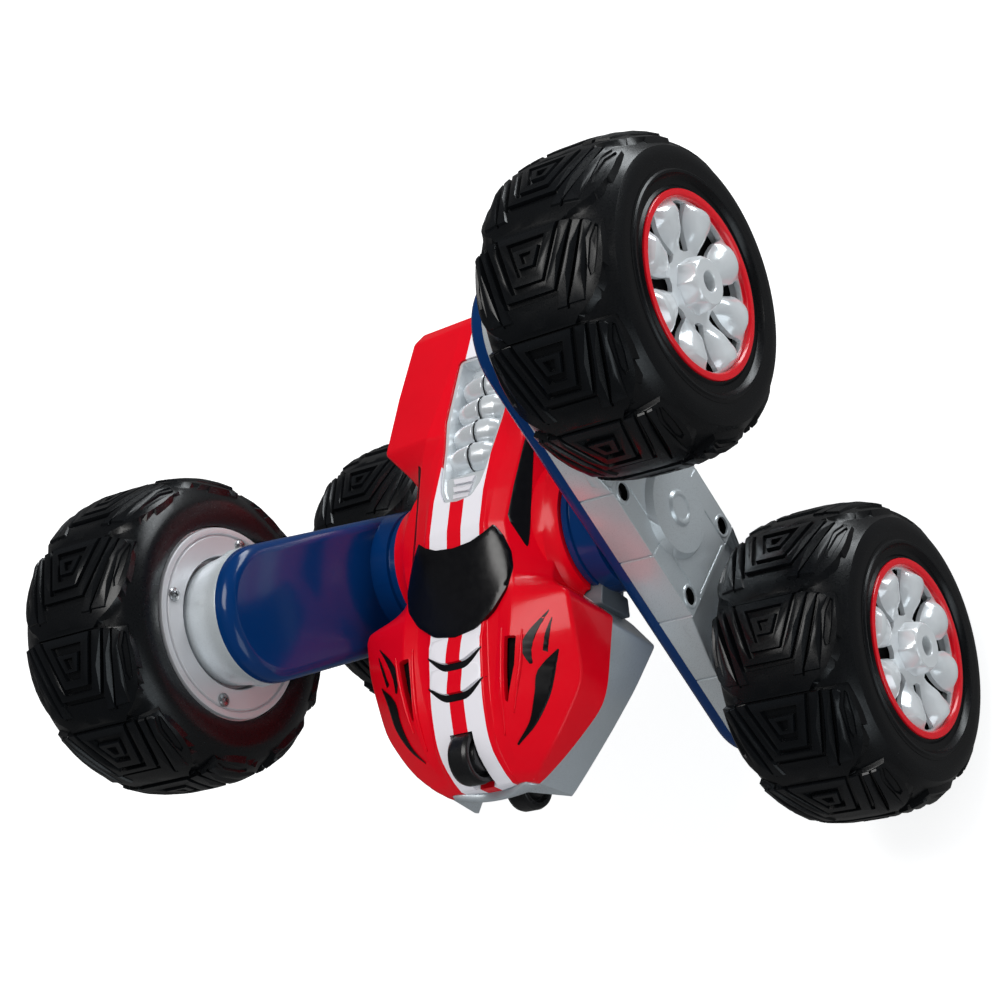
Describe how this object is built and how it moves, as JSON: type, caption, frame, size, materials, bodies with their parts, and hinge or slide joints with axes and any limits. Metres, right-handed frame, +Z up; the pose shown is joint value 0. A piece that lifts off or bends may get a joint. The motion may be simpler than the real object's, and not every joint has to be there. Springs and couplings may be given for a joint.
{
  "type": "rc stunt car",
  "caption": "Radio-controlled stunt car: a flat two-sided body carried between two arms that turn right round, each arm with its own motor, gears and a big treaded wheel at both ends.",
  "frame": {"origin": "middle of the arms' common pivot axis, on the body's centre plane", "axes": "+X along the pivot axis to the car's left side, nose towards -Y, +Z up through the roof"},
  "size_m": [0.2654, 0.1946, 0.2584],
  "materials": {
    "tyre_rubber": "soft moulded tread, semi-gloss raised faces",
    "rim_silver": "satin silver painted plastic",
    "ring_red": "gloss red",
    "disc_silver": "satin silver painted plastic",
    "screw_steel": "zinc plated",
    "axle_steel": "turned steel",
    "gear_nylon": "natural nylon",
    "arm_blue": "deep gloss blue",
    "arm_silver": "satin silver painted plastic",
    "motor_steel": "plated can",
    "body_red": "high gloss red with white stripes",
    "shell_silver": "satin silver painted plastic",
    "screen_black": "high gloss black",
    "panel_black": "gloss black",
    "engine_silver": "satin silver painted plastic",
    "battery_wrap": "shrink wrap",
    "door_silver": "satin silver plastic",
    "board_green": "circuit board lacquer",
    "switch_black": "moulded",
    "roller_black": "smooth black plastic"
  },
  "bodies": {
    "chassis": {"hood_shell": "body_red", "lower_shell": "shell_silver", "windscreen": "screen_black", "left_side_panel": "panel_black", "right_side_panel": "panel_black", "engine_insert": "engine_silver", "roller_pins": "axle_steel", "battery_pack": "battery_wrap", "battery_door": "door_silver", "control_board": "board_green", "shell_screws": "screw_steel"},
    "upper_roller": {"upper_roller": "roller_black"},
    "lower_roller": {"lower_roller": "roller_black"},
    "power_switch": {"power_switch": "switch_black"},
    "left_arm": {"left_arm_inner_shell": "arm_blue", "left_arm_outer_shell": "arm_silver", "left_cover_screws": "screw_steel", "left_hub_retainer": "gear_nylon", "left_drive_motor": "motor_steel", "left_gear_pins": "axle_steel"},
    "right_arm": {"right_arm_inner_shell": "arm_blue", "right_arm_outer_shell": "arm_silver", "right_cover_screws": "screw_steel", "right_hub_retainer": "gear_nylon", "right_drive_motor": "motor_steel", "right_gear_pins": "axle_steel"},
    "left_front_wheel": {"left_front_axle": "axle_steel", "left_front_tyre": "tyre_rubber", "left_front_rim": "rim_silver", "left_front_rim_ring": "ring_red", "left_front_inner_disc": "disc_silver", "left_front_disc_screws": "screw_steel"},
    "left_rear_wheel": {"left_rear_axle": "axle_steel", "left_rear_tyre": "tyre_rubber", "left_rear_rim": "rim_silver", "left_rear_rim_ring": "ring_red", "left_rear_inner_disc": "disc_silver", "left_rear_disc_screws": "screw_steel"},
    "right_front_wheel": {"right_front_axle": "axle_steel", "right_front_tyre": "tyre_rubber", "right_front_rim": "rim_silver", "right_front_rim_ring": "ring_red", "right_front_inner_disc": "disc_silver", "right_front_disc_screws": "screw_steel"},
    "right_rear_wheel": {"right_rear_axle": "axle_steel", "right_rear_tyre": "tyre_rubber", "right_rear_rim": "rim_silver", "right_rear_rim_ring": "ring_red", "right_rear_inner_disc": "disc_silver", "right_rear_disc_screws": "screw_steel"},
    "left_front_reduction": {"left_front_reduction_gear": "gear_nylon"},
    "left_front_idler": {"left_front_idler_gear": "gear_nylon"},
    "left_rear_reduction": {"left_rear_reduction_gear": "gear_nylon"},
    "left_rear_idler": {"left_rear_idler_gear": "gear_nylon"},
    "right_front_reduction": {"right_front_reduction_gear": "gear_nylon"},
    "right_front_idler": {"right_front_idler_gear": "gear_nylon"},
    "right_rear_reduction": {"right_rear_reduction_gear": "gear_nylon"},
    "right_rear_idler": {"right_rear_idler_gear": "gear_nylon"},
    "left_pinion": {"left_motor_pinion": "gear_nylon"},
    "right_pinion": {"right_motor_pinion": "gear_nylon"}
  },
  "joints": [
    {"name": "left_arm_pivot", "type": "hinge", "parent": "chassis", "child": "left_arm", "pos_m": [0, 0, 0], "axis": [1, 0, 0], "continuous": true},
    {"name": "right_arm_pivot", "type": "hinge", "parent": "chassis", "child": "right_arm", "pos_m": [0, 0, 0], "axis": [1, 0, 0], "continuous": true},
    {"name": "left_front_wheel_spin", "type": "hinge", "parent": "left_arm", "child": "left_front_wheel", "pos_m": [0, -0.03975, -0.07172], "axis": [1, 0, 0], "continuous": true},
    {"name": "left_rear_wheel_spin", "type": "hinge", "parent": "left_arm", "child": "left_rear_wheel", "pos_m": [0, 0.03975, 0.07172], "axis": [1, 0, 0], "continuous": true},
    {"name": "right_front_wheel_spin", "type": "hinge", "parent": "right_arm", "child": "right_front_wheel", "pos_m": [0, -0.03975, 0.07172], "axis": [1, 0, 0], "continuous": true},
    {"name": "right_rear_wheel_spin", "type": "hinge", "parent": "right_arm", "child": "right_rear_wheel", "pos_m": [0, 0.03975, -0.07172], "axis": [1, 0, 0], "continuous": true},
    {"name": "left_front_reduction_spin", "type": "hinge", "parent": "left_arm", "child": "left_front_reduction", "pos_m": [0, -0.01067, -0.01924], "axis": [1, 0, 0], "continuous": true},
    {"name": "left_front_idler_spin", "type": "hinge", "parent": "left_arm", "child": "left_front_idler", "pos_m": [0, -0.02182, -0.03936], "axis": [1, 0, 0], "continuous": true},
    {"name": "left_rear_reduction_spin", "type": "hinge", "parent": "left_arm", "child": "left_rear_reduction", "pos_m": [0, 0.01067, 0.01924], "axis": [1, 0, 0], "continuous": true},
    {"name": "left_rear_idler_spin", "type": "hinge", "parent": "left_arm", "child": "left_rear_idler", "pos_m": [0, 0.02182, 0.03936], "axis": [1, 0, 0], "continuous": true},
    {"name": "right_front_reduction_spin", "type": "hinge", "parent": "right_arm", "child": "right_front_reduction", "pos_m": [0, -0.01067, 0.01924], "axis": [1, 0, 0], "continuous": true},
    {"name": "right_front_idler_spin", "type": "hinge", "parent": "right_arm", "child": "right_front_idler", "pos_m": [0, -0.02182, 0.03936], "axis": [1, 0, 0], "continuous": true},
    {"name": "right_rear_reduction_spin", "type": "hinge", "parent": "right_arm", "child": "right_rear_reduction", "pos_m": [0, 0.01067, -0.01924], "axis": [1, 0, 0], "continuous": true},
    {"name": "right_rear_idler_spin", "type": "hinge", "parent": "right_arm", "child": "right_rear_idler", "pos_m": [0, 0.02182, -0.03936], "axis": [1, 0, 0], "continuous": true},
    {"name": "left_pinion_spin", "type": "hinge", "parent": "left_arm", "child": "left_pinion", "pos_m": [0, 0, 0], "axis": [1, 0, 0], "continuous": true},
    {"name": "right_pinion_spin", "type": "hinge", "parent": "right_arm", "child": "right_pinion", "pos_m": [0, 0, 0], "axis": [1, 0, 0], "continuous": true},
    {"name": "upper_roller_spin", "type": "hinge", "parent": "chassis", "child": "upper_roller", "pos_m": [0, -0.087, 0.0175], "axis": [1, 0, 0], "continuous": true},
    {"name": "lower_roller_spin", "type": "hinge", "parent": "chassis", "child": "lower_roller", "pos_m": [0, -0.087, -0.015], "axis": [1, 0, 0], "continuous": true},
    {"name": "power_switch_slide", "type": "slide", "parent": "chassis", "child": "power_switch", "axis": [0, 1, 0], "range_m": [0, 0.004]}
  ],
  "couplings": [
    {"joint": "left_front_reduction_spin", "follows": "left_front_wheel_spin", "ratio": 3},
    {"joint": "left_front_idler_spin", "follows": "left_front_wheel_spin", "ratio": -1.3125},
    {"joint": "left_rear_reduction_spin", "follows": "left_front_wheel_spin", "ratio": 3},
    {"joint": "left_rear_idler_spin", "follows": "left_front_wheel_spin", "ratio": -1.3125},
    {"joint": "left_rear_wheel_spin", "follows": "left_front_wheel_spin", "ratio": 1},
    {"joint": "right_front_reduction_spin", "follows": "right_front_wheel_spin", "ratio": 3},
    {"joint": "right_front_idler_spin", "follows": "right_front_wheel_spin", "ratio": -1.3125},
    {"joint": "right_rear_reduction_spin", "follows": "right_front_wheel_spin", "ratio": 3},
    {"joint": "right_rear_idler_spin", "follows": "right_front_wheel_spin", "ratio": -1.3125},
    {"joint": "right_rear_wheel_spin", "follows": "right_front_wheel_spin", "ratio": 1},
    {"joint": "left_pinion_spin", "follows": "left_front_wheel_spin", "ratio": -8},
    {"joint": "right_pinion_spin", "follows": "right_front_wheel_spin", "ratio": -8}
  ]
}
